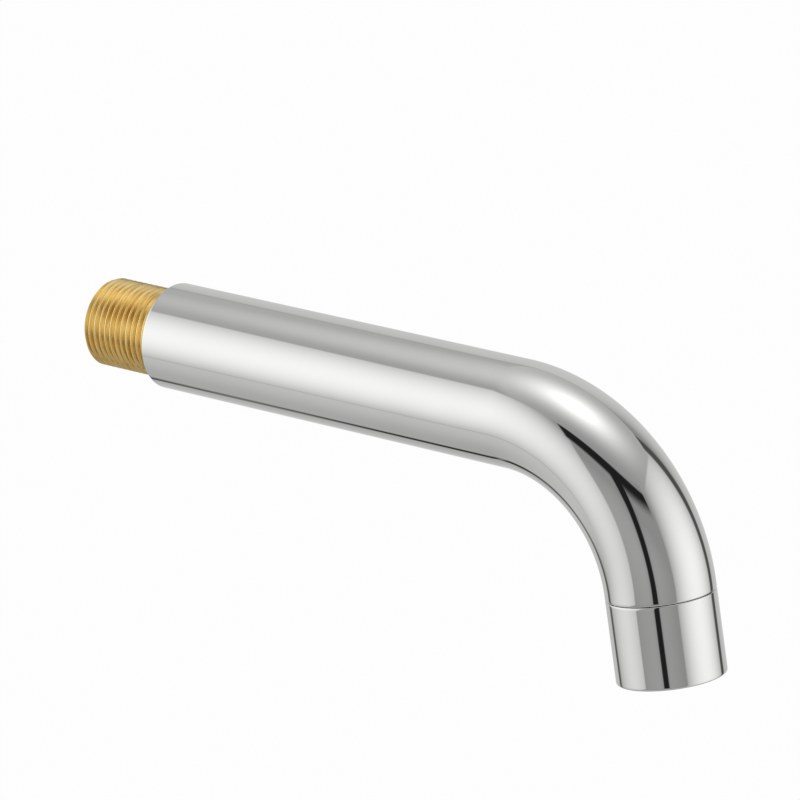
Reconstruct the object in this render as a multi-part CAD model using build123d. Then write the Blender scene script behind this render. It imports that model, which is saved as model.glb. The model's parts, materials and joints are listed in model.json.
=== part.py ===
from build123d import *

import os
from math import hypot

# Wall spout, in millimetres. The wall is the plane y = 0 and the spout reaches out along -Y, with +Z up.
# The origin is the centre of the tube's wall end. Fit gaps are radial unless they say otherwise.

# Bent tube
tube_diameter = 25.0
tube_wall = 1.5
straight_run = 100.0
bend_radius = 40.0
bend_angle = 80.0
outlet_run = 1.0
wall_end_chamfer = 0.5
outlet_end_chamfer = 0.3
braze_gap = 0.05

# Wall nipple with a G 1/2 male pipe thread, drawn at the thread's crests
nipple_thread = 20.955
nipple_thread_length = 20.0
nipple_thread_chamfer = 1.2
nipple_bore = 15.0
nipple_plug_length = 14.0

# Outlet bush, whose stub carries the sleeve's thread
bush_plug_length = 5.0
bush_plug_relief = 0.2
bush_stub_length = 6.0
bush_stub_chamfer = 0.4
bush_wall = 1.6
thread_gap = 0.05

# Sleeve round the aerator, flush with the tube
sleeve_length = 19.0
sleeve_wall = 1.5
sleeve_seam = 0.2
sleeve_top_chamfer = 0.3
sleeve_rim_chamfer = 0.4
sleeve_seat_width = 0.7

# Washer between bush and insert
washer_thickness = 2.0
washer_grip = 0.4

# Aerator insert: cup, jet plate and strainer
insert_gap = 0.15
insert_recess = 0.8
flange_thickness = 1.5
air_gap = 0.5
cup_rim = 0.8
cup_step = 0.6
cup_ledge_width = 0.7
cup_ledge_thickness = 1.0
moulding_gap = 0.1
air_window_count = 6
air_window_width = 4.0
air_window_height = 2.6
air_window_drop = 0.8

plate_thickness = 1.6
plate_slot_count = 12
plate_slot_width = 1.1
plate_slot_length = 2.4
plate_slot_inset = 0.6
plate_cone_radius = 3.6
plate_cone_height = 1.2
leg_thickness = 0.9

strainer_base_thickness = 1.0
strainer_base_width = 1.8
strainer_height = 3.4
strainer_wall = 0.8
strainer_crown = 4.4
strainer_slot_count = 12
strainer_slot_width = 1.0
strainer_slot_start = 2.4
strainer_slot_margin = 0.8

# Screens
screen_thickness = 0.6
screen_pitch = 1.7
screen_wire = 0.5
screen_rim = 0.7
screen_turn = 45.0
spacer_height = 1.2
spacer_width = 0.6

# Radii that follow from the tube and the walls
tube_radius = tube_diameter / 2
tube_bore_radius = tube_radius - tube_wall
plug_radius = tube_bore_radius - braze_gap
sleeve_thread_radius = tube_radius - sleeve_wall
stub_radius = sleeve_thread_radius - thread_gap
bush_bore_radius = min(stub_radius, plug_radius - bush_plug_relief) - bush_wall
sleeve_bore_radius = sleeve_thread_radius - sleeve_seat_width
flange_radius = sleeve_thread_radius - insert_gap
cup_radius = sleeve_bore_radius - air_gap
recess_radius = cup_radius - cup_rim
cup_bore_radius = recess_radius - cup_step
cup_mouth_radius = cup_bore_radius - cup_ledge_width
plate_radius = recess_radius - moulding_gap
screen_radius = cup_bore_radius - moulding_gap
washer_bore_radius = plate_radius - washer_grip

# Depths along the outlet, measured downstream from the tube's end
sleeve_top = sleeve_seam
sleeve_end = sleeve_top + sleeve_length
flange_top = bush_stub_length + washer_thickness
flange_seat = flange_top + flange_thickness
plate_top = flange_top + strainer_base_thickness
plate_end = plate_top + plate_thickness
cup_end = sleeve_end - insert_recess
ledge_top = cup_end - cup_ledge_thickness
lower_screen_top = ledge_top - screen_thickness
spacer_top = lower_screen_top - spacer_height
upper_screen_top = spacer_top - screen_thickness

# Centre line: a straight run off the wall, the bend, and the short run to the outlet
with BuildLine(Plane.YZ) as centre_line:
    run = Line((0, 0), (-straight_run, 0))
    bend = JernArc(start=run @ 1, tangent=run % 1, radius=bend_radius, arc_size=bend_angle)
    Line(bend @ 1, bend @ 1 + (bend % 1) * outlet_run)

path = centre_line.wire()
wall_face = Plane(origin=path @ 0, x_dir=(1, 0, 0), z_dir=(path % 0) * -1)
outlet_face = Plane(origin=path @ 1, x_dir=(1, 0, 0), z_dir=path % 1)


def turned(*outline):
    """Solid of revolution about Z, from the (radius, height) corners of its half section."""
    return revolve(Plane.XZ * make_face(Polyline(*outline, close=True)), Axis.Z)


def ring(inner_radius, outer_radius, bottom, top):
    """Plain ring about Z."""
    return turned((inner_radius, bottom), (outer_radius, bottom), (outer_radius, top), (inner_radius, top))


def end_edges(tube, face):
    """Outer edge of the tube's flat end that lies in the given plane."""
    flat_ends = tube.faces().filter_by(GeomType.PLANE)
    return flat_ends.sort_by_distance(face.origin)[0].outer_wire().edges()


def spout_tube():
    """Tube bent in one piece, its outer end edges broken."""
    section = wall_face * (Circle(tube_radius) - Circle(tube_bore_radius))
    tube = sweep(section, path=path)
    tube = chamfer(end_edges(tube, wall_face), wall_end_chamfer)
    return chamfer(end_edges(tube, outlet_face), outlet_end_chamfer)


def wall_nipple():
    """Turned nipple: a plug brazed into the tube and a threaded length that goes into the wall."""
    bore = nipple_bore / 2
    crest = nipple_thread / 2
    nipple = turned(
        (bore, -nipple_plug_length),
        (plug_radius, -nipple_plug_length),
        (plug_radius, 0),
        (crest, 0),
        (crest, nipple_thread_length - nipple_thread_chamfer),
        (crest - nipple_thread_chamfer, nipple_thread_length),
        (bore, nipple_thread_length),
    )
    return wall_face * nipple


def outlet_bush():
    """Bush in the outlet: its plug is relieved to clear the bend, its stub carries the sleeve."""
    plug = ring(bush_bore_radius, plug_radius - bush_plug_relief, -bush_plug_length, 0)
    stub = turned(
        (bush_bore_radius, 0),
        (stub_radius, 0),
        (stub_radius, bush_stub_length - bush_stub_chamfer),
        (stub_radius - bush_stub_chamfer, bush_stub_length),
        (bush_bore_radius, bush_stub_length),
    )
    return outlet_face * (plug + stub)


def aerator_housing():
    """Sleeve screwed on the bush, with an inner seat for the insert and a broken edge at its mouth."""
    sleeve = turned(
        (sleeve_thread_radius, sleeve_top),
        (tube_radius - sleeve_top_chamfer, sleeve_top),
        (tube_radius, sleeve_top + sleeve_top_chamfer),
        (tube_radius, sleeve_end - sleeve_rim_chamfer),
        (tube_radius - sleeve_rim_chamfer, sleeve_end),
        (sleeve_bore_radius, sleeve_end),
        (sleeve_bore_radius, flange_seat),
        (sleeve_thread_radius, flange_seat),
    )
    return outlet_face * sleeve


def sealing_washer():
    """Flat ring that the sleeve squeezes between the bush and the insert."""
    return outlet_face * ring(washer_bore_radius, flange_radius, bush_stub_length, flange_top)


def air_windows(inner_radius, outer_radius):
    """Radial blocks that cut the air windows through a wall between two radii."""
    block = Box(
        outer_radius - inner_radius,
        air_window_width,
        air_window_height,
        align=(Align.MIN, Align.CENTER, Align.MIN),
    )
    spots = PolarLocations(inner_radius, air_window_count)
    return [Pos(0, 0, plate_end + air_window_drop) * spot * block for spot in spots]


def insert_body():
    """Moulded cup: a flange on the sleeve's seat, air windows in its wall, a ledge for the screens."""
    cup = turned(
        (recess_radius, flange_top),
        (flange_radius, flange_top),
        (flange_radius, flange_seat),
        (cup_radius, flange_seat),
        (cup_radius, cup_end),
        (cup_mouth_radius, cup_end),
        (cup_mouth_radius, ledge_top),
        (cup_bore_radius, ledge_top),
        (cup_bore_radius, plate_end),
        (recess_radius, plate_end),
    )
    return outlet_face * (cup - air_windows(cup_mouth_radius, sleeve_bore_radius))


def jet_plate():
    """Slotted plate with a deflector cone, and legs between the air windows that hold the screens."""
    plate = turned(
        (0, plate_top - plate_cone_height),
        (plate_cone_radius, plate_top),
        (plate_radius, plate_top),
        (plate_radius, plate_end),
        (0, plate_end),
    )
    legs = ring(screen_radius - leg_thickness, screen_radius, plate_end, upper_screen_top)
    gap = Box(
        plate_radius,
        air_window_width,
        upper_screen_top - plate_end,
        align=(Align.MIN, Align.CENTER, Align.MIN),
    )
    legs -= [Pos(0, 0, plate_end) * spot * gap for spot in PolarLocations(0, air_window_count)]
    slot = Box(
        plate_slot_length,
        plate_slot_width,
        plate_thickness,
        align=(Align.MAX, Align.CENTER, Align.MIN),
    )
    slot_circle = PolarLocations(screen_radius - leg_thickness - plate_slot_inset, plate_slot_count)
    jets = [Pos(0, 0, plate_top) * spot * slot for spot in slot_circle]
    return outlet_face * (plate - jets + legs)


def inlet_strainer():
    """Strainer on the jet plate: a base ring and a thin slotted cap that faces upstream."""
    base_bore = plate_radius - strainer_base_width
    foot = base_bore + strainer_wall
    cap_top = flange_top - strainer_height
    cap = turned(
        (base_bore, plate_top),
        (plate_radius, plate_top),
        (plate_radius, flange_top),
        (foot, flange_top),
        (strainer_crown, cap_top),
        (0, cap_top),
        (0, cap_top + strainer_wall),
        (strainer_crown - strainer_wall, cap_top + strainer_wall),
        (base_bore, flange_top),
    )
    slot = Box(
        base_bore - strainer_slot_start - strainer_slot_margin,
        strainer_slot_width,
        strainer_height,
        align=(Align.MIN, Align.CENTER, Align.MIN),
    )
    spots = PolarLocations(strainer_slot_start, strainer_slot_count)
    return outlet_face * (cap - [Pos(0, 0, cap_top) * spot * slot for spot in spots])


def screen(top, turn):
    """Round mesh screen with a plain rim, its square meshes turned about the outlet."""
    mesh = screen_pitch - screen_wire
    reach = screen_radius - screen_rim - hypot(mesh, mesh) / 2
    across = 2 * int(reach / screen_pitch) + 1
    grid = GridLocations(screen_pitch, screen_pitch, across, across)
    spots = [spot for spot in grid if hypot(spot.position.X, spot.position.Y) <= reach]
    disc = Circle(screen_radius) - [spot * Rectangle(mesh, mesh) for spot in spots]
    return outlet_face * Pos(0, 0, top) * Rot(0, 0, turn) * extrude(disc, screen_thickness)


def screen_spacer():
    """Thin ring that keeps the two screens apart."""
    return outlet_face * ring(screen_radius - spacer_width, screen_radius, spacer_top, lower_screen_top)


pieces = {
    "spout_tube": spout_tube(),
    "wall_nipple": wall_nipple(),
    "outlet_bush": outlet_bush(),
    "aerator_housing": aerator_housing(),
    "sealing_washer": sealing_washer(),
    "inlet_strainer": inlet_strainer(),
    "jet_plate": jet_plate(),
    "insert_body": insert_body(),
    "upper_screen": screen(upper_screen_top, screen_turn),
    "screen_spacer": screen_spacer(),
    "lower_screen": screen(lower_screen_top, 0),
}

os.makedirs("parts", exist_ok=True)
for name, piece in pieces.items():
    export_step(piece, f"parts/{name}.step")
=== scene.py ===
# %% [markdown]
# # A chrome wall spout
# This spout screws into a wall and carries water out over a basin. It is a bent chrome tube with a brass
# thread at the wall and, at its outlet, a short chrome sleeve that holds an aerator. The CAD model fixes
# every size and place. In this lesson the pieces that show get the fine shapes that the CAD keeps plain,
# every surface gets its finish, and a small light tent gives the chrome something to mirror.
#
# The frame comes first. Its box is kept.

# %% Load the fixed frame
import json
import math

import bmesh
import bpy
from mathutils import Euler, Matrix, Vector


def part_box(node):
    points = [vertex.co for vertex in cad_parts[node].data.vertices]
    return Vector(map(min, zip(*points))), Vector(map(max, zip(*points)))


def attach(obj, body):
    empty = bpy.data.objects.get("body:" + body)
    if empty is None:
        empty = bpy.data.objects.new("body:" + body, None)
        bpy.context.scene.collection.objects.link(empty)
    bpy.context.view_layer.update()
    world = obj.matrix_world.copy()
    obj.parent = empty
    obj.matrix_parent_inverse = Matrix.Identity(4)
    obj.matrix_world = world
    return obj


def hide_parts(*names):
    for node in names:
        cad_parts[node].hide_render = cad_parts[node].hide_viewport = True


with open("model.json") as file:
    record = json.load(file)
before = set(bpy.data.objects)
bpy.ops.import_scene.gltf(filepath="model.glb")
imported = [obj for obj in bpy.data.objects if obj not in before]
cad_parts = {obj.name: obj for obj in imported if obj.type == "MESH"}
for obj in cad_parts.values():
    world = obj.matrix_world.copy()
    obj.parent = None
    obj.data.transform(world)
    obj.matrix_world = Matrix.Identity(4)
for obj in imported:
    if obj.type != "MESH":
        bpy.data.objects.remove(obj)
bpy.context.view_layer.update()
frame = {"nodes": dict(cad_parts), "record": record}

# %% [markdown]
# ## Sizes
# Where the frame's boxes give a size, it is read from them. The rest are the same real sizes that the CAD
# is driven by: the straight run, the bend and the wall of the tube. The outlet is tilted, so a matrix
# holds its place: its Z axis runs down the outlet, and its origin is the centre of the tube's end.

# %% Sizes and the outlet's own axes
MM = 0.001
TUBE_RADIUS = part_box("spout_tube")[1].x
TUBE_WALL = 1.5 * MM
STRAIGHT_RUN = 100 * MM
BEND_RADIUS = 40 * MM
BEND_ANGLE = math.radians(80)
OUTLET_RUN = 1.0 * MM

bend_centre = Vector((0, -STRAIGHT_RUN, -BEND_RADIUS))
bend_turn = Matrix.Rotation(BEND_ANGLE, 4, "X")
outlet_direction = bend_turn @ Vector((0, -1, 0))
outlet_point = bend_centre + bend_turn @ Vector((0, 0, BEND_RADIUS)) + outlet_direction * OUTLET_RUN
OUTLET = Matrix.Translation(outlet_point) @ Matrix.Rotation(BEND_ANGLE + math.pi / 2, 4, "X")
WALL = Matrix.Rotation(-math.pi / 2, 4, "X")
print("outlet at", [round(value / MM, 2) for value in outlet_point], "mm")
print("tube radius", round(TUBE_RADIUS / MM, 2), "mm")

# %% [markdown]
# ## The camera
# The photograph was taken with a long lens from the left, in front and a little above, so lines that run
# away from the camera hardly close up. The camera is placed by where it stands and by one point of the
# spout, which has to land on its pixel in the photograph.

# %% Camera at the photograph's viewing angle
IMAGE_SIDE = 800
SENSOR_WIDTH = 36.0
FOCAL_PIXELS = 5492.3
CAMERA_TURN = math.radians(-52.353)
CAMERA_RISE = math.radians(17.341)
CAMERA_DISTANCE = 1.2483
AIM_POINT = Vector((0, -0.075, -0.015))
AIM_PIXEL = (429.3, 456.3)

camera_data = bpy.data.cameras.new("photo_camera")
camera_data.sensor_width = SENSOR_WIDTH
camera_data.lens = FOCAL_PIXELS / IMAGE_SIDE * SENSOR_WIDTH
camera = bpy.data.objects.new("photo_camera", camera_data)
bpy.context.scene.collection.objects.link(camera)
camera.rotation_euler = Euler((math.pi / 2 - CAMERA_RISE, 0, CAMERA_TURN))
aim_right = (AIM_PIXEL[0] - IMAGE_SIDE / 2) / FOCAL_PIXELS
aim_down = (AIM_PIXEL[1] - IMAGE_SIDE / 2) / FOCAL_PIXELS
sight_line = Vector((aim_right, -aim_down, -1)) * CAMERA_DISTANCE
camera.location = AIM_POINT - camera.rotation_euler.to_matrix() @ sight_line
bpy.context.scene.camera = camera
print("camera at", [round(value, 3) for value in camera.location], "m, lens", round(camera_data.lens), "mm")

# %% [markdown]
# ## The tube
# The real tube is drawn straight, bent over a former, ground and plated, so it has one smooth skin from
# end to end. A curve with a bevel would give the same path, but spinning a ring keeps every ring a true
# circle, square to the path, and gives the plating even quads to mirror on. A circle is pulled along the
# straight run, spun round the bend's centre and pulled on to the outlet. Solidify gives the wall, and the
# end edges are rounded. Each end has an extra ring close to its edge, so that the rounding doesn't spoil
# the shading of the long faces.

# %% Helpers for edit mode
TOUCH = 0.005 * MM


def open_primitive(name):
    """Names the primitive just added, puts its place in its mesh and opens it with all selected."""
    piece = bpy.context.object
    piece.name = name
    bpy.ops.object.transform_apply(location=True, rotation=True, scale=True)
    bpy.ops.object.mode_set(mode="EDIT")
    bpy.ops.mesh.select_mode(type="EDGE")
    bpy.ops.mesh.select_all(action="SELECT")
    return piece


def only(piece):
    """Makes a piece the one selected, active object."""
    bpy.ops.object.select_all(action="DESELECT")
    piece.select_set(True)
    bpy.context.view_layer.objects.active = piece


def close_mesh():
    """Merges doubles, turns the faces outwards and leaves edit mode."""
    bpy.ops.mesh.select_all(action="SELECT")
    bpy.ops.mesh.remove_doubles(threshold=TOUCH)
    bpy.ops.mesh.normals_make_consistent(inside=False)
    bpy.ops.object.mode_set(mode="OBJECT")


def round_ring(piece, place, radius, depth, rounding):
    """Rounds the edges that lie on a circle about the Z axis of a place matrix."""
    only(piece)
    bpy.ops.object.mode_set(mode="EDIT")
    bpy.ops.mesh.select_mode(type="EDGE")
    bpy.ops.mesh.select_all(action="DESELECT")
    mesh = bmesh.from_edit_mesh(piece.data)
    inverse = place.inverted()
    for edge in mesh.edges:
        spots = [inverse @ vertex.co for vertex in edge.verts]
        on_ring = [abs(spot.z - depth) < TOUCH and abs(spot.xy.length - radius) < TOUCH for spot in spots]
        edge.select_set(all(on_ring))
    bmesh.update_edit_mesh(piece.data)
    bpy.ops.mesh.bevel(offset=rounding, segments=4, profile=0.5, affect="EDGES")
    bpy.ops.object.mode_set(mode="OBJECT")


def apply_modifier(piece, kind, **settings):
    """Adds a modifier with its settings and applies it."""
    only(piece)
    modifier = piece.modifiers.new(kind.lower(), kind)
    for name, value in settings.items():
        setattr(modifier, name, value)
    bpy.ops.object.modifier_apply(modifier=modifier.name)


def smooth(piece, degrees=35):
    """Shades a piece smooth up to an angle between faces."""
    only(piece)
    bpy.ops.object.shade_smooth_by_angle(angle=math.radians(degrees))


# %% Tube
RING_SIDES = 128
RUN_STEPS = 12
BEND_STEPS = 80
EDGE_RING = 0.65 * MM
WALL_END_ROUNDING = 0.5 * MM
OUTLET_END_ROUNDING = 0.25 * MM

bpy.ops.object.select_all(action="DESELECT")
bpy.ops.mesh.primitive_circle_add(vertices=RING_SIDES, radius=TUBE_RADIUS, rotation=(math.pi / 2, 0, 0))
tube = open_primitive("chrome_tube")
pulls = [EDGE_RING] + [(STRAIGHT_RUN - EDGE_RING) / RUN_STEPS] * RUN_STEPS
for pull in pulls:
    bpy.ops.mesh.extrude_edges_move(TRANSFORM_OT_translate={"value": (0, -pull, 0)})
bpy.ops.mesh.spin(steps=BEND_STEPS, angle=-BEND_ANGLE, center=bend_centre, axis=(1, 0, 0))
for pull in (OUTLET_RUN - EDGE_RING, EDGE_RING):
    bpy.ops.mesh.extrude_edges_move(TRANSFORM_OT_translate={"value": outlet_direction * pull})
close_mesh()
apply_modifier(tube, "SOLIDIFY", thickness=TUBE_WALL, offset=-1, use_even_offset=True)
round_ring(tube, WALL, TUBE_RADIUS, 0, WALL_END_ROUNDING)
round_ring(tube, OUTLET, TUBE_RADIUS, 0, OUTLET_END_ROUNDING)
smooth(tube)
tube_low = min(vertex.co.z for vertex in tube.data.vertices)
print("tube:", len(tube.data.polygons), "faces, lowest at", round(tube_low / MM, 2), "mm")

# %% [markdown]
# ## The sleeve
# The sleeve is a turned brass ring, plated like the tube and flush with it, that screws on at the outlet.
# A turned piece is a half section carried round an axis. Instead of a lathe tool, a circle is pulled from
# ring to ring through the section's corners, which is quick to write for any turned piece. The last pull
# comes back to the first ring, and merging the doubles closes the shape. The sleeve stands a hair below
# the tube, and the two rounded edges give the fine dark joint that shows where the aerator comes off.


# %% Helper for turned pieces
def turned(name, section, sides=RING_SIDES):
    """Ring about Z, pulled from corner to corner of its half section, given as (radius, level) pairs."""
    radius, level = section[0]
    bpy.ops.object.select_all(action="DESELECT")
    bpy.ops.mesh.primitive_circle_add(vertices=sides, radius=radius, location=(0, 0, level))
    piece = open_primitive(name)
    for next_radius, next_level in section[1:] + section[:1]:
        bpy.ops.mesh.extrude_edges_move(TRANSFORM_OT_translate={"value": (0, 0, next_level - level)})
        growth = next_radius / radius
        bpy.ops.transform.resize(value=(growth, growth, 1), center_override=(0, 0, next_level))
        radius, level = next_radius, next_level
    close_mesh()
    return piece


def put(piece, place):
    """Carries a piece that was made about Z to its place and leaves that place in its mesh."""
    only(piece)
    piece.matrix_world = place
    bpy.ops.object.transform_apply(location=True, rotation=True, scale=True)


# %% Sleeve
SLEEVE_SEAM = 0.12 * MM
SLEEVE_END = 19.2 * MM
SLEEVE_BORE = 10.3 * MM
SLEEVE_THREAD_BORE = 11.0 * MM
SLEEVE_SEAT = 9.5 * MM
SLEEVE_TOP_ROUNDING = 0.25 * MM
SLEEVE_MOUTH_ROUNDING = 0.4 * MM

sleeve = turned("chrome_sleeve", [
    (SLEEVE_THREAD_BORE, SLEEVE_SEAM),
    (TUBE_RADIUS, SLEEVE_SEAM),
    (TUBE_RADIUS, SLEEVE_SEAM + EDGE_RING),
    (TUBE_RADIUS, SLEEVE_END - EDGE_RING),
    (TUBE_RADIUS, SLEEVE_END),
    (SLEEVE_BORE, SLEEVE_END),
    (SLEEVE_BORE, SLEEVE_SEAT),
    (SLEEVE_THREAD_BORE, SLEEVE_SEAT),
])
round_ring(sleeve, Matrix(), TUBE_RADIUS, SLEEVE_SEAM, SLEEVE_TOP_ROUNDING)
round_ring(sleeve, Matrix(), TUBE_RADIUS, SLEEVE_END, SLEEVE_MOUTH_ROUNDING)
round_ring(sleeve, Matrix(), SLEEVE_BORE, SLEEVE_END, SLEEVE_MOUTH_ROUNDING)
smooth(sleeve)
put(sleeve, OUTLET)
sleeve_low = min(vertex.co.z for vertex in sleeve.data.vertices)
print("sleeve:", len(sleeve.data.polygons), "faces, lowest at", round(sleeve_low / MM, 2), "mm")

# %% [markdown]
# ## The threaded nipple
# The brass nipple is turned from bar and threaded. A pipe thread has straight flanks, 55 degrees apart,
# with rounded roots, and its crests are rounded and rubbed a little flat. The pitch is the one that the
# photograph shows. The thread could be faked with a bump, but it shows from the side, so it is real. One
# pitch of its outline is drawn by pulling a single vertex along, the Screw modifier carries it round and
# up, and bisecting cuts the rod to length and closes it. A turned blank with a chamfered nose and a bore
# then trims the rod with a Boolean, as the lathe would.

# %% One pitch of the thread, carried round and up
THREAD_RADIUS = frame["record"]["mounts"][0]["dims"]["r_mm"] * MM
THREAD_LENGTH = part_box("wall_nipple")[1].y
THREAD_PITCH = 1.6 * MM
FLANK_SLOPE = math.radians(62.5)
ROOT_ROUNDING = 0.22 * MM
CREST_ROUNDING = 0.1 * MM
CREST_FLAT = 0.18 * MM
ARC_STEPS = 6
TURN_STEPS = 96

arc = [FLANK_SLOPE * step / ARC_STEPS for step in range(ARC_STEPS + 1)]
flank_run = THREAD_PITCH / 2 - CREST_FLAT / 2 - (ROOT_ROUNDING + CREST_ROUNDING) * math.sin(FLANK_SLOPE)
round_depth = (ROOT_ROUNDING + CREST_ROUNDING) * (1 - math.cos(FLANK_SLOPE))
root_radius = THREAD_RADIUS - round_depth - flank_run * math.tan(FLANK_SLOPE)
root = [(root_radius + ROOT_ROUNDING * (1 - math.cos(t)), ROOT_ROUNDING * math.sin(t)) for t in arc]
crest_start = (THREAD_PITCH - CREST_FLAT) / 2
crest = [
    (THREAD_RADIUS - CREST_ROUNDING * (1 - math.cos(t)), crest_start - CREST_ROUNDING * math.sin(t))
    for t in reversed(arc)
]
rise = root + crest
fall = [(radius, THREAD_PITCH - along) for radius, along in reversed(rise)]
outline = rise + fall

bpy.ops.object.select_all(action="DESELECT")
bpy.ops.mesh.primitive_plane_add(size=MM, location=(outline[0][0], 0, -2 * THREAD_PITCH))
thread = open_primitive("brass_nipple")
bpy.ops.mesh.select_mode(type="VERT")
bpy.ops.mesh.merge(type="CENTER")
for (radius, along), (next_radius, next_along) in zip(outline, outline[1:]):
    pull = (next_radius - radius, 0, next_along - along)
    bpy.ops.mesh.extrude_vertices_move(TRANSFORM_OT_translate={"value": pull})
bpy.ops.object.mode_set(mode="OBJECT")
turns = math.ceil(THREAD_LENGTH / THREAD_PITCH) + 4
apply_modifier(
    thread,
    "SCREW",
    axis="Z",
    screw_offset=THREAD_PITCH,
    iterations=turns,
    steps=TURN_STEPS,
    render_steps=TURN_STEPS,
)
thread_depth = round((THREAD_RADIUS - root_radius) / MM, 2)
print("thread:", turns, "turns,", thread_depth, "mm deep,", len(thread.data.polygons), "faces")


# %% Cut the rod to length and trim it with a turned blank
NIPPLE_BORE = 7.5 * MM
NIPPLE_CHAMFER = 1.2 * MM
NIPPLE_PLUG_GAP = 0.05 * MM
NIPPLE_PLUG_RADIUS = TUBE_RADIUS - TUBE_WALL - NIPPLE_PLUG_GAP
NIPPLE_PLUG_LENGTH = -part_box("wall_nipple")[0].y
CUT_MARGIN = 0.3 * MM


def cut_away(point, normal):
    """Cuts the open mesh at a plane, drops what lies on the normal's side and closes the cut."""
    bpy.ops.mesh.select_all(action="SELECT")
    bpy.ops.mesh.bisect(
        plane_co=point,
        plane_no=normal,
        threshold=TOUCH / 10,
        use_fill=True,
        clear_outer=True,
    )


only(thread)
bpy.ops.object.mode_set(mode="EDIT")
bpy.ops.mesh.select_all(action="SELECT")
bpy.ops.mesh.remove_doubles(threshold=TOUCH)
cut_away((0, 0, -CUT_MARGIN), (0, 0, -1))
cut_away((0, 0, THREAD_LENGTH + CUT_MARGIN), (0, 0, 1))
close_mesh()

clear_radius = THREAD_RADIUS + CUT_MARGIN
blank = turned("thread_blank", [
    (NIPPLE_BORE, 0),
    (clear_radius, 0),
    (clear_radius, THREAD_LENGTH - NIPPLE_CHAMFER - CUT_MARGIN),
    (THREAD_RADIUS - NIPPLE_CHAMFER, THREAD_LENGTH),
    (NIPPLE_BORE + CUT_MARGIN, THREAD_LENGTH),
    (NIPPLE_BORE, THREAD_LENGTH - CUT_MARGIN),
])
apply_modifier(thread, "BOOLEAN", operation="INTERSECT", object=blank, solver="EXACT")
bpy.data.objects.remove(blank)

plug = turned("thread_plug", [
    (NIPPLE_BORE, -NIPPLE_PLUG_LENGTH),
    (NIPPLE_PLUG_RADIUS, -NIPPLE_PLUG_LENGTH),
    (NIPPLE_PLUG_RADIUS, 0),
    (NIPPLE_BORE, 0),
])
only(thread)
plug.select_set(True)
bpy.ops.object.join()
smooth(thread, 50)
put(thread, WALL)
thread_mesh = bmesh.new()
thread_mesh.from_mesh(thread.data)
loose = sum(1 for edge in thread_mesh.edges if len(edge.link_faces) != 2)
print("nipple:", len(thread.data.polygons), "faces,", loose, "open edges")
thread_mesh.free()

# %% [markdown]
# ## The aerator's screens
# Two round screens of woven wire break the water up. A grid with square bars would do from afar, but a
# close look from below shows wires going over and under, so one wire is made that way: a small ring is
# pulled along, up at one crossing and down at the next, and a subdivision rounds its waves. It is copied
# across the screen, each copy cut to its chord, and the whole set is copied once more, turned a quarter
# and flipped, so that it passes under where the first passes over. A thin pressed rim holds the wires.

# %% One wire, over and under
SCREEN_RADIUS = 8.3 * MM
SCREEN_RIM = 0.7 * MM
SCREEN_THICKNESS = 0.6 * MM
WIRE_RADIUS = 0.13 * MM
WIRE_PITCH = 0.85 * MM
WIRE_WAVE = 0.15 * MM
WIRE_SIDES = 6

half_count = int((SCREEN_RADIUS - SCREEN_RIM) / WIRE_PITCH)
wire_start = -(half_count + 1) * WIRE_PITCH
bpy.ops.object.select_all(action="DESELECT")
bpy.ops.mesh.primitive_circle_add(
    vertices=WIRE_SIDES,
    radius=WIRE_RADIUS,
    fill_type="NGON",
    location=(wire_start, 0, WIRE_WAVE * (-1) ** (half_count + 1)),
    rotation=(0, math.pi / 2, 0),
)
wire = open_primitive("screen_wire")
for crossing in range(-half_count, half_count + 2):
    lift = 2 * WIRE_WAVE * (-1) ** crossing
    bpy.ops.mesh.extrude_region_move(TRANSFORM_OT_translate={"value": (WIRE_PITCH, 0, lift)})
close_mesh()
apply_modifier(wire, "SUBSURF", levels=1, render_levels=1)
print("wire:", len(wire.data.polygons), "faces over", 2 * half_count + 2, "crossings")

# %% Wires across the screen, then the other way under them
screen_wires = []
for row in range(-half_count, half_count + 1):
    only(wire)
    bpy.ops.object.duplicate()
    strand = bpy.context.object
    offset = row * WIRE_PITCH
    flip = math.pi if row % 2 else 0
    put(strand, Matrix.Translation((0, offset, 0)) @ Matrix.Rotation(flip, 4, "X"))
    chord = math.sqrt((SCREEN_RADIUS - SCREEN_RIM / 2) ** 2 - offset**2)
    bpy.ops.object.mode_set(mode="EDIT")
    for side in (-1, 1):
        cut_away((side * chord, 0, 0), (side, 0, 0))
    bpy.ops.object.mode_set(mode="OBJECT")
    screen_wires.append(strand)
bpy.data.objects.remove(wire)

for strand in list(screen_wires):
    only(strand)
    bpy.ops.object.duplicate()
    crossing_strand = bpy.context.object
    put(crossing_strand, Matrix.Rotation(math.pi / 2, 4, "Z") @ Matrix.Rotation(math.pi, 4, "X"))
    screen_wires.append(crossing_strand)
print("screen:", len(screen_wires), "wires")

# %% Rim, and the two screens in their places
LOWER_SCREEN_DEPTH = 17.1 * MM
UPPER_SCREEN_DEPTH = 15.3 * MM
UPPER_SCREEN_TURN = math.radians(45)
RIM_SIDES = 96
RIM_ROUNDING = 0.12 * MM

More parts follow.
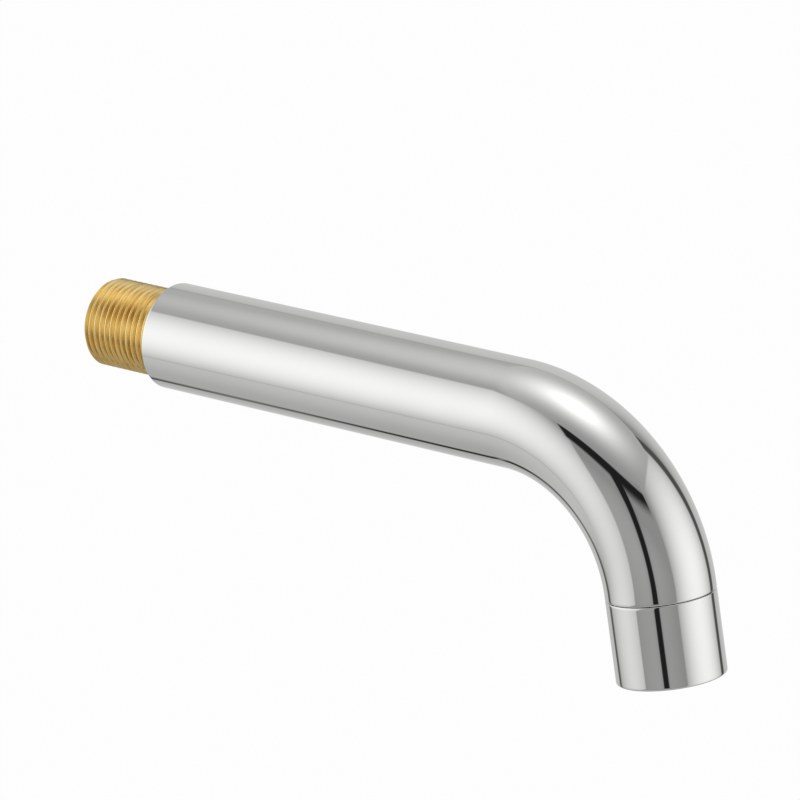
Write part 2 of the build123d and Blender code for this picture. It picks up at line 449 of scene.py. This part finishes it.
rim_inside = SCREEN_RADIUS - SCREEN_RIM
half_thickness = SCREEN_THICKNESS / 2
rim_section = [
    (rim_inside, -half_thickness),
    (SCREEN_RADIUS, -half_thickness),
    (SCREEN_RADIUS, half_thickness),
    (rim_inside, half_thickness),
]
lower_screen = turned("lower_wire_screen", rim_section, RIM_SIDES)
for level in (-half_thickness, half_thickness):
    round_ring(lower_screen, Matrix(), rim_inside, level, RIM_ROUNDING)
only(lower_screen)
for strand in screen_wires:
    strand.select_set(True)
bpy.ops.object.join()
smooth(lower_screen, 60)
only(lower_screen)
bpy.ops.object.duplicate()
upper_screen = bpy.context.object
upper_screen.name = "upper_wire_screen"
upper_turn = Matrix.Rotation(UPPER_SCREEN_TURN, 4, "Z")
put(lower_screen, OUTLET @ Matrix.Translation((0, 0, LOWER_SCREEN_DEPTH)))
put(upper_screen, OUTLET @ Matrix.Translation((0, 0, UPPER_SCREEN_DEPTH)) @ upper_turn)
print("screens:", len(lower_screen.data.polygons), "faces each")

# %% [markdown]
# ## Shader sums as plain Python
# A finish is easier to read as a formula than as a web of nodes. The class below wraps an output socket:
# adding or multiplying wrapped sockets adds the Math nodes, and one method makes any other node from its
# type, its settings and its sockets.

# %% A socket that can be used in sums
class Output:
    """An output socket that can be used in Python sums. With no socket, it only starts a node tree."""

    def __init__(self, tree, socket=None):
        self.tree = tree
        self.socket = socket

    def node(self, kind, settings=None, sockets=None, out=0):
        """Adds a node: its settings come first, then the values or links of its sockets."""
        made = self.tree.nodes.new("ShaderNode" + kind)
        for name, value in (settings or {}).items():
            setattr(made, name, value)
        for name, value in (sockets or {}).items():
            if isinstance(value, Output):
                self.tree.links.new(value.socket, made.inputs[name])
            else:
                made.inputs[name].default_value = value
        return Output(self.tree, made.outputs[out]) if made.outputs else None

    def math(self, operation, *terms):
        """A Math node on this value and the terms."""
        return self.node("Math", {"operation": operation}, dict(enumerate((self, *terms))))

    def vector(self, operation, *terms, out="Vector"):
        """A Vector Math node on this vector and the terms."""
        return self.node("VectorMath", {"operation": operation}, dict(enumerate((self, *terms))), out)

    def __add__(self, other):
        return self.math("ADD", other)

    __radd__ = __add__

    def __sub__(self, other):
        return self.math("SUBTRACT", other)

    def __rsub__(self, other):
        return self.math("MULTIPLY_ADD", -1, other)

    def __mul__(self, other):
        return self.math("MULTIPLY", other)

    __rmul__ = __mul__

    def __pow__(self, other):
        return self.math("POWER", other)

    def ramp(self, start, end):
        """0 before start, 1 after end, and a soft step between them."""
        reach = {"Value": self, "From Min": start, "From Max": end}
        return self.node("MapRange", {"interpolation_type": "SMOOTHSTEP"}, reach)


# %% Helpers for finishes
def mixed(factor, first, second):
    """A colour between two colours."""
    return factor.node("Mix", {"data_type": "RGBA"}, {0: factor, 6: first, 7: second}, out=2)


def noise(place, grain, detail=2.0):
    """Cloudy 0 to 1 value whose blotches are about a grain wide."""
    return place.node("TexNoise", sockets={"Vector": place, "Scale": 1 / grain, "Detail": detail})


def finish(name, build):
    """A material whose Principled shader takes its sockets from a build function of the object place."""
    material = bpy.data.materials.new(name)
    material.use_nodes = True
    material.node_tree.nodes.clear()
    place = Output(material.node_tree).node("TexCoord", out="Object")
    shader = place.node("BsdfPrincipled", sockets=build(place))
    place.node("OutputMaterial", sockets={"Surface": shader})
    print("finish:", name, "with", len(material.node_tree.nodes), "nodes")
    return material


# %% [markdown]
# ## Chrome
# Bright chrome is a near-perfect mirror with a faint cool or warm tone. Seen close, it is never quite
# even: a wiped film dulls it a little in patches, and fine wipe marks run through that. Both are put in
# the roughness, with a trace in the colour, and stay small enough to leave the mirror crisp.

# %% Chrome finish
CHROME_CLEAN = (0.885, 0.885, 0.872, 1)
CHROME_FILM = (0.862, 0.864, 0.852, 1)
FILM_GRAIN = 22 * MM
WIPE_GRAIN = 1.5 * MM


def chrome_plate(place):
    film = noise(place, FILM_GRAIN, 3.0).ramp(0.35, 0.75)
    wipes = noise(place, WIPE_GRAIN, 4.0).ramp(0.45, 0.8)
    return {
        "Base Color": mixed(film, CHROME_CLEAN, CHROME_FILM),
        "Metallic": 1.0,
        "Roughness": 0.010 + 0.012 * film + 0.006 * wipes,
    }


chrome = finish("chrome_plate", chrome_plate)

# %% [markdown]
# ## Raw brass
# The nipple is bare brass, fresh from the lathe. Its crests are rubbed bright and the tool has left fine
# streaks round it. A darker band along one side is a painted reflection of the tent's dark opening, and
# the colour is made duller towards the top and underside. One flat colour would look like paint, so the
# distance from the axis, which tells crest from root, and streaks, the painted band and cloudy patches
# drive the colour. A deep thread mirrors itself, and each bounce deepens the colour, so the colours are
# written paler than the brass looks.

# %% Brass finish
BRASS_CREST = (1.0, 0.765, 0.35, 1)
BRASS_FLANK = (1.0, 0.80, 0.38, 1)
BRASS_ROOT = (1.0, 0.79, 0.385, 1)
# Dull brass, also the colour of the painted dark reflection band
BRASS_DULL_AND_PAINTED_REFLECTION = (0.78, 0.50, 0.145, 1)
CREST_WEAR_DEPTH = 0.04 * MM
PATCH_GRAIN = 5 * MM
STREAK_GRAIN = 1.2 * MM
STREAK_STRETCH = (0.15, 3, 0.15)
STREAK_DEPTH = 0.03 * MM
# Place and stretch of the painted reflection band, where the tent's dark opening mirrors
PAINTED_REFLECTION_PLACE = (-8.5 * MM, 9.5 * MM, 6.2 * MM)
PAINTED_REFLECTION_STRETCH = (1, 0.35, 1)


def raw_brass(place):
    flat = place.vector("MULTIPLY", (1, 0, 1))
    radius = flat.vector("LENGTH", out="Value")
    from_root = radius.ramp(root_radius, THREAD_RADIUS)
    patches = noise(place, PATCH_GRAIN, 3.0).ramp(0.4, 0.7)
    tool_rings = noise(place.vector("MULTIPLY", STREAK_STRETCH), STREAK_GRAIN, 2.0)
    streaks = tool_rings.ramp(0.44, 0.63)
    crest_wear = radius.ramp(THREAD_RADIUS - CREST_WEAR_DEPTH, THREAD_RADIUS) * (1 - 0.35 * streaks)
    # Painted reflection: a darker band stretched along the nipple on one side
    painted_reflection_shape = place.vector("SUBTRACT", PAINTED_REFLECTION_PLACE).vector("MULTIPLY", PAINTED_REFLECTION_STRETCH)
    dark_mask = 1 - painted_reflection_shape.vector("LENGTH", out="Value").ramp(0.8 * MM, 4.2 * MM)
    up = place.node("SeparateXYZ", sockets={0: place}, out="Z")
    # Duller colour towards the top and underside
    underside = 1 - up.ramp(-4 * MM, 3 * MM)
    topside = up.ramp(6.5 * MM, 10.5 * MM)
    # Dull colour from patches and tool streaks, plus the painted reflection band and the top and underside
    dulling_and_painted_reflection = 0.08 * patches + 0.42 * streaks + 0.65 * dark_mask + 0.6 * underside + 0.3 * topside
    turned_brass = mixed(dulling_and_painted_reflection, mixed(from_root, BRASS_ROOT, BRASS_FLANK), BRASS_DULL_AND_PAINTED_REFLECTION)
    bump = {"Strength": 0.6, "Distance": STREAK_DEPTH, "Height": tool_rings}
    return {
        "Base Color": mixed(crest_wear, turned_brass, BRASS_CREST),
        "Metallic": 1.0,
        "Roughness": 0.20 + 0.06 * patches - 0.08 * crest_wear,
        "Normal": place.node("Bump", sockets=bump),
    }


brass = finish("raw_brass", raw_brass)

# %% [markdown]
# ## Inside the aerator
# The insert's mouldings are white plastic with a faint cloudiness from the mould, the washer is black
# rubber with a dusty bloom, and the screens are stainless wire, a little stained where water dries. They
# are seen only from below, so each needs no more than a cloudy tone, and the moulded ones a fine grain.

# %% Moulding, rubber and wire finishes
PLASTIC_WHITE = (0.80, 0.80, 0.77, 1)
PLASTIC_SHADE = (0.70, 0.70, 0.66, 1)
RUBBER_BLACK = (0.018, 0.018, 0.020, 1)
RUBBER_BLOOM = (0.060, 0.058, 0.056, 1)
STEEL_BRIGHT = (0.66, 0.65, 0.62, 1)
STEEL_STAIN = (0.42, 0.38, 0.32, 1)


def grained(place, grain, strength, depth):
    """A normal with a fine moulded grain."""
    bump = {"Strength": strength, "Distance": depth, "Height": noise(place, grain)}
    return place.node("Bump", sockets=bump)


def white_moulding(place):
    clouds = noise(place, 4 * MM, 3.0).ramp(0.3, 0.8)
    return {
        "Base Color": mixed(clouds, PLASTIC_WHITE, PLASTIC_SHADE),
        "Roughness": 0.38 + 0.12 * clouds,
        "Normal": grained(place, grain=0.25 * MM, strength=0.1, depth=0.02 * MM),
    }


def black_rubber(place):
    bloom = noise(place, 2 * MM, 4.0).ramp(0.5, 0.85)
    return {
        "Base Color": mixed(bloom, RUBBER_BLACK, RUBBER_BLOOM),
        "Roughness": 0.62 + 0.2 * bloom,
        "Normal": grained(place, grain=0.15 * MM, strength=0.25, depth=0.03 * MM),
    }


def steel_wire(place):
    dark_mask = noise(place, 3 * MM, 4.0).ramp(0.5, 0.8)
    return {
        "Base Color": mixed(dark_mask, STEEL_BRIGHT, STEEL_STAIN),
        "Metallic": 1.0,
        "Roughness": 0.22 + 0.2 * dark_mask,
    }


moulding = finish("white_moulding", white_moulding)
rubber = finish("black_rubber", black_rubber)
steel = finish("steel_mesh", steel_wire)

# %% [markdown]
# ## Finishes on the pieces
# Each new piece takes its finish, rides on the spout's one body and stands for its CAD node. The CAD
# nodes whose shape is already right keep it and only get the better finish.

# %% Give out the finishes
new_pieces = {
    "spout_tube": (tube, chrome, "chrome_plate"),
    "aerator_housing": (sleeve, chrome, "chrome_plate"),
    "wall_nipple": (thread, brass, "raw_brass"),
    "lower_screen": (lower_screen, steel, "steel_mesh"),
    "upper_screen": (upper_screen, steel, "steel_mesh"),
}
for node_name, (piece, material, slot) in new_pieces.items():
    piece.data.materials.clear()
    piece.data.materials.append(material)
    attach(piece, "root")
    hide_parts(node_name)

kept_nodes = {
    "outlet_bush": brass,
    "sealing_washer": rubber,
    "inlet_strainer": moulding,
    "jet_plate": moulding,
    "insert_body": moulding,
    "screen_spacer": moulding,
}
for node_name, material in kept_nodes.items():
    for slot in frame["nodes"][node_name].material_slots:
        slot.material = material
print(len(new_pieces), "pieces made,", len(kept_nodes), "CAD nodes kept")

# %% [markdown]
# ## The light tent
# Chrome has no colour of its own: what it shows is the studio. This one is a square tent of pale cloth
# with a soft round lamp over it. The camera looks in through a T-shaped opening in one wall, which
# mirrors as the dark T on the bend. The tent's corners, and a fold of cloth below the spout, mirror as
# fine dark lines. The tent could be modelled, but a mirror sees only directions once the walls are far
# away, so it is painted on the world by direction: the azimuth in degrees, which runs from the wall (0,
# +Y) through +X (90), and the height. The camera itself sees plain white, and so does the metal, in part,
# where the white lies behind the spout.

# %% Directions in the tent
world = bpy.data.worlds.new("light_tent")
bpy.context.scene.world = world
world.use_nodes = True
tent = world.node_tree
tent.nodes.clear()
DEGREES = 180 / math.pi

direction = Output(tent).node("TexCoord", out="Generated")
x_part, y_part, z_part = (direction.node("SeparateXYZ", sockets={0: direction}, out=axis) for axis in "XYZ")
azimuth = x_part.math("ARCTAN2", y_part) * DEGREES
height = z_part.math("ARCSINE") * DEGREES


def off(middle):
    """How far a direction is turned from an azimuth, from -180 to 180."""
    return (azimuth - middle).math("WRAP", 180, -180)


def within(value, low, high, soft=1.2):
    """1 between two values, with soft edges."""
    return value.ramp(low - soft, low + soft) * (1 - value.ramp(high - soft, high + soft))


def over(below, above, mask):
    """One value laid over another through a mask."""
    return below + (above - below) * mask


print("tent:", len(tent.nodes), "nodes for the directions")

# %% [markdown]
# ### Ceiling and walls
# The lamp glows through the ceiling's middle, and the ceiling dims away from it, most of all above the
# camera and beyond a line towards the wall. Each of the four walls is brightest at one place and falls
# off from there. They are laid over the ceiling one after the other, each inside its own edges.

# %% Ceiling and lamp
CEILING = 0.375
CEILING_GLOW = 0.13
CEILING_DIP = 0.105
CEILING_FADE = 0.085
GLOW_SIDE = 5
DIP_SIDE = -110
FADE_SLANT = 0.0016
WALL_TOP = 44.5
LAMP_EDGE = 78
LAMP_SHIFT = 0.7
LAMP_SIDE = 75


def facing(middle):
    """1 straight towards an azimuth, 0 square to it, -1 away from it."""
    return (off(middle) * (1 / DEGREES)).math("COSINE")


def lobe(middle):
    """1 towards an azimuth, 0 away from it."""
    return facing(middle) * 0.5 + 0.5


ceiling_place = y_part.math("DIVIDE", z_part) - FADE_SLANT * azimuth
ceiling = CEILING + CEILING_GLOW * lobe(GLOW_SIDE) ** 3 - CEILING_DIP * lobe(DIP_SIDE) ** 2
ceiling = ceiling - CEILING_FADE * ceiling_place.ramp(0.67, 0.85)
lamp_height = height + LAMP_SHIFT * facing(LAMP_SIDE)
climb = ((lamp_height - WALL_TOP) * (1 / (LAMP_EDGE - WALL_TOP))).math("MAXIMUM", 0)
light = over(ceiling, 1.0, climb * climb)
print("tent:", len(tent.nodes), "nodes with ceiling and lamp")

# %% Four walls
WALL_LEAST = 0.25
BRIGHT_SIDE = -38
FRONT_SIDE = 156
RIGHT_SIDE = 62
CAMERA_SIDE = -120.5
CAMERA_SIDE_HALF = 37.5
FRONT_SEAM_RISE = 1.15
FRONT_SEAM_SIDE = 162
RIGHT_SEAM_RISE = 0.9
RIGHT_SEAM_SIDE = 90
SEAM_SHADE = 0.86


def wall_light(turn, peak, level, side_fall, height_fall):
    """Light on a wall that falls off as it turns aside and above and below a level."""
    rise = height - level
    return (peak - turn * turn * side_fall - rise * rise * height_fall).math("MAXIMUM", WALL_LEAST)


low_fall = 1 - height.ramp(-12, 8)
bright_left = off(BRIGHT_SIDE).math("MINIMUM", 0)
bright_turn = bright_left + 0.9 * low_fall * off(BRIGHT_SIDE).math("MAXIMUM", 0)
bright_wall = wall_light(bright_turn, peak=0.955, level=8, side_fall=2.05e-4, height_fall=3.2e-4)
front_fall = 1.75e-4 * facing(FRONT_SIDE) ** 2
front_wall = wall_light(off(FRONT_SIDE), peak=0.885, level=5, side_fall=2.35e-4, height_fall=front_fall)
high_fall = 6.0e-5 + 3.8e-6 * height.math("MAXIMUM", 0)
right_turn = off(RIGHT_SIDE).math("MAXIMUM", -24)
right_wall = wall_light(right_turn, peak=0.53, level=3, side_fall=high_fall, height_fall=1.5e-5)
camera_wall = wall_light(off(-98), peak=0.33, level=0, side_fall=2.5e-5, height_fall=1.3e-4)

below_top = 1 - height.ramp(WALL_TOP - 2, WALL_TOP)
slope = (height * (1 / DEGREES)).math("TANGENT")
front_seam = FRONT_SEAM_RISE * facing(FRONT_SEAM_SIDE) - slope
right_seam = RIGHT_SEAM_RISE * facing(RIGHT_SEAM_SIDE) - slope
right_seam_shade = within(right_seam, -0.05, 0.05, 0.07) * within(off(70), -45, 35, 3)
light = over(light, right_wall, right_seam.ramp(-0.04, 0.04) * within(off(56), -55, 55, 3))
light = over(light, SEAM_SHADE * light, right_seam_shade)
light = over(light, front_wall, front_seam.ramp(-0.03, 0.03) * within(off(FRONT_SIDE), -50, 60))
light = over(light, bright_wall, below_top * within(off(BRIGHT_SIDE), -60, 45))
sag = (4 - height).math("MAXIMUM", 0)
edge_lean = 0.1 * height.math("MAXIMUM", 0)
camera_edges = (edge_lean - CAMERA_SIDE_HALF, sag * sag * 0.024 + CAMERA_SIDE_HALF)
camera_side = within(off(CAMERA_SIDE), *camera_edges)
light = over(light, camera_wall, (1 - height.ramp(WALL_TOP - 1, WALL_TOP + 1)) * camera_side)
print("tent:", len(tent.nodes), "nodes with the walls")

# %% [markdown]
# ### Floor, corner, fold and opening
# The tent's floor starts at a soft line below the walls. One corner stays dark, and so does the fold of
# cloth under the spout, which shows as the thin line along the underside of the tube. The opening is a
# bar with a stem below it. Cloth beside the stem hangs in its shade.

# %% Floor of the tent
FLOOR_EDGE = 0.50
FLOOR_MIDDLE = 0.30
FLOOR_LINE = -30
FLOOR_SEAM_SHADE = 0.8

floor_light = over(FLOOR_EDGE, FLOOR_MIDDLE, 1 - height.ramp(-70, FLOOR_LINE))
floor_blur = 1 + 5 * within(off(65), -90, 70, 8)
light = over(light, floor_light, 1 - height.ramp(FLOOR_LINE - floor_blur, FLOOR_LINE + floor_blur))
floor_seam = within(height, FLOOR_LINE - 0.5, FLOOR_LINE + 0.5, 0.6) * within(off(-70), -60, 38, 10)
light = over(light, FLOOR_SEAM_SHADE * light, floor_seam)
print("tent:", len(tent.nodes), "nodes with the floor")

# %% Dark corner and fold
CORNER_SIDE = 106.5
CORNER_DARK = 0.068
FOLD_SIDE = 6.3
FOLD_PALE = 0.09
FOLD_DARK = 0.015
FOLD_SHADE = 0.83

lean = 0.15 * (height - 10).math("MAXIMUM", 0)
right_corner = within(off(CORNER_SIDE) - lean, -5.4, 6, 2.2) * within(height, -60, 42, 0.8)
light = over(light, CORNER_DARK, right_corner)

fold_shade = within(off(19), -10, 10, 9) * within(height, -44, -36, 5)
light = over(light, FOLD_SHADE * light, fold_shade)
fold_lean = (0.5 * (FLOOR_LINE - height)).math("MAXIMUM", 0).math("MINIMUM", 7.5)
fold = within(off(FOLD_SIDE) - fold_lean, -5.0, 5.0, 3.0) * within(height, -62, -15, 3)
fold_dark = over(FOLD_PALE, FOLD_DARK, 1 - height.ramp(-46, -40)) + 0.09 * within(height, -35, -31, 4)
light = over(light, fold_dark, fold * (1 - 0.36 * within(height, -52.4, -50.4, 1.0)))
print("tent:", len(tent.nodes), "nodes with corner and fold")

# %% T-shaped opening
OPENING_DARK = 0.013
BAR_SIDE = -116.5
BAR_HALF = 35.5
BAR_TOP = 44.4
STEM_SIDE = -115.5
STEM_SHADE = 0.74

bar_turn = off(-92)
bar_drop = BAR_TOP - height - bar_turn * bar_turn * 0.0012
bar_lean = 0.35 * (height - 36).math("MAXIMUM", 0)
bar_crisp = off(-112).ramp(-8, 8)
bar_rise = height.ramp(27.3 + 4 * bar_crisp, 36.6 - 1.3 * bar_crisp)
bar = within(off(BAR_SIDE), -BAR_HALF, bar_lean + BAR_HALF) * bar_rise * bar_drop.ramp(-1, 1)
flare = 0.2 * (height - 20).math("MAXIMUM", 0)
stem_slant = 0.12 * (2 - height).math("MAXIMUM", 0)
stem = within(off(STEM_SIDE), -4.5 - stem_slant, flare + 4.9, 1.3) * within(height, -14, 38)
stem_shade = within(off(STEM_SIDE), -5, 5, 9) * within(height, -20, 28, 6)
light = over(light, STEM_SHADE * light, stem_shade)
light = over(light, OPENING_DARK, bar.math("MAXIMUM", stem))
print("tent:", len(tent.nodes), "nodes with the opening")

# %% White to the camera, the tent to everything else
BACKDROP_WHITE = 0.985
BACKDROP_SHARE = 0.22
BACKDROP_SIDE = 57
CHROME_SHARE = 0.88

camera_ray = direction.node("LightPath", out="Is Camera Ray")
glass_ray = direction.node("LightPath", out="Is Transmission Ray")
mirror_ray = direction.node("LightPath", out="Is Glossy Ray")
behind = within(off(BACKDROP_SIDE), -12, 12, 4) * within(height, -32, -6, 4)
seen_white = camera_ray.math("MAXIMUM", glass_ray).math("MAXIMUM", BACKDROP_SHARE * behind * mirror_ray)
tent_light = light * (1 / CHROME_SHARE)
strength = over(tent_light, BACKDROP_WHITE, seen_white)
background = direction.node("Background", sockets={"Color": (1, 1, 1, 1), "Strength": strength})
direction.node("OutputWorld", sockets={"Surface": background})
print("tent:", len(tent.nodes), "nodes in all")

# %% [markdown]
# ## The floor
# A plain pale floor lies below the spout and takes its soft shadow. It is lit to white for the camera,
# and it lets the camera through from below, so that the aerator can be looked at from underneath.

# %% Floor
FLOOR_DROP = 0.30
FLOOR_SIDE = 12.0
FLOOR_PALE = (0.80, 0.80, 0.80, 1)
FLOOR_SHADE_SHARE = 0.10
FLOOR_CAMERA_LIGHT = 1.04

bpy.ops.object.select_all(action="DESELECT")
bpy.ops.mesh.primitive_plane_add(size=FLOOR_SIDE, location=(0, 0, -FLOOR_DROP))
floor = bpy.context.object
floor.name = "floor"
floor.visible_glossy = False
floor_material = bpy.data.materials.new("pale_floor")
floor_material.use_nodes = True
floor_material.node_tree.nodes.clear()
floor_start = Output(floor_material.node_tree)
matt = floor_start.node("BsdfDiffuse", sockets={"Color": FLOOR_PALE})
white = floor_start.node("Emission", sockets={"Color": (1, 1, 1, 1), "Strength": FLOOR_CAMERA_LIGHT})
seen = floor_start.node("LightPath", out="Is Camera Ray")
lit = floor_start.node("MixShader", sockets={0: seen * (1 - FLOOR_SHADE_SHARE), 1: matt, 2: white})
under = floor_start.node("NewGeometry", out="Backfacing")
clear = floor_start.node("BsdfTransparent")
surface = floor_start.node("MixShader", sockets={0: under, 1: lit, 2: clear})
floor_start.node("OutputMaterial", sockets={"Surface": surface})
floor.data.materials.append(floor_material)
print("floor", FLOOR_DROP, "m below the spout")

# %% [markdown]
# ## The end
# Standard view keeps colours as they are written.

# %% Colours as written, and the end
bpy.context.scene.view_settings.view_transform = "Standard"
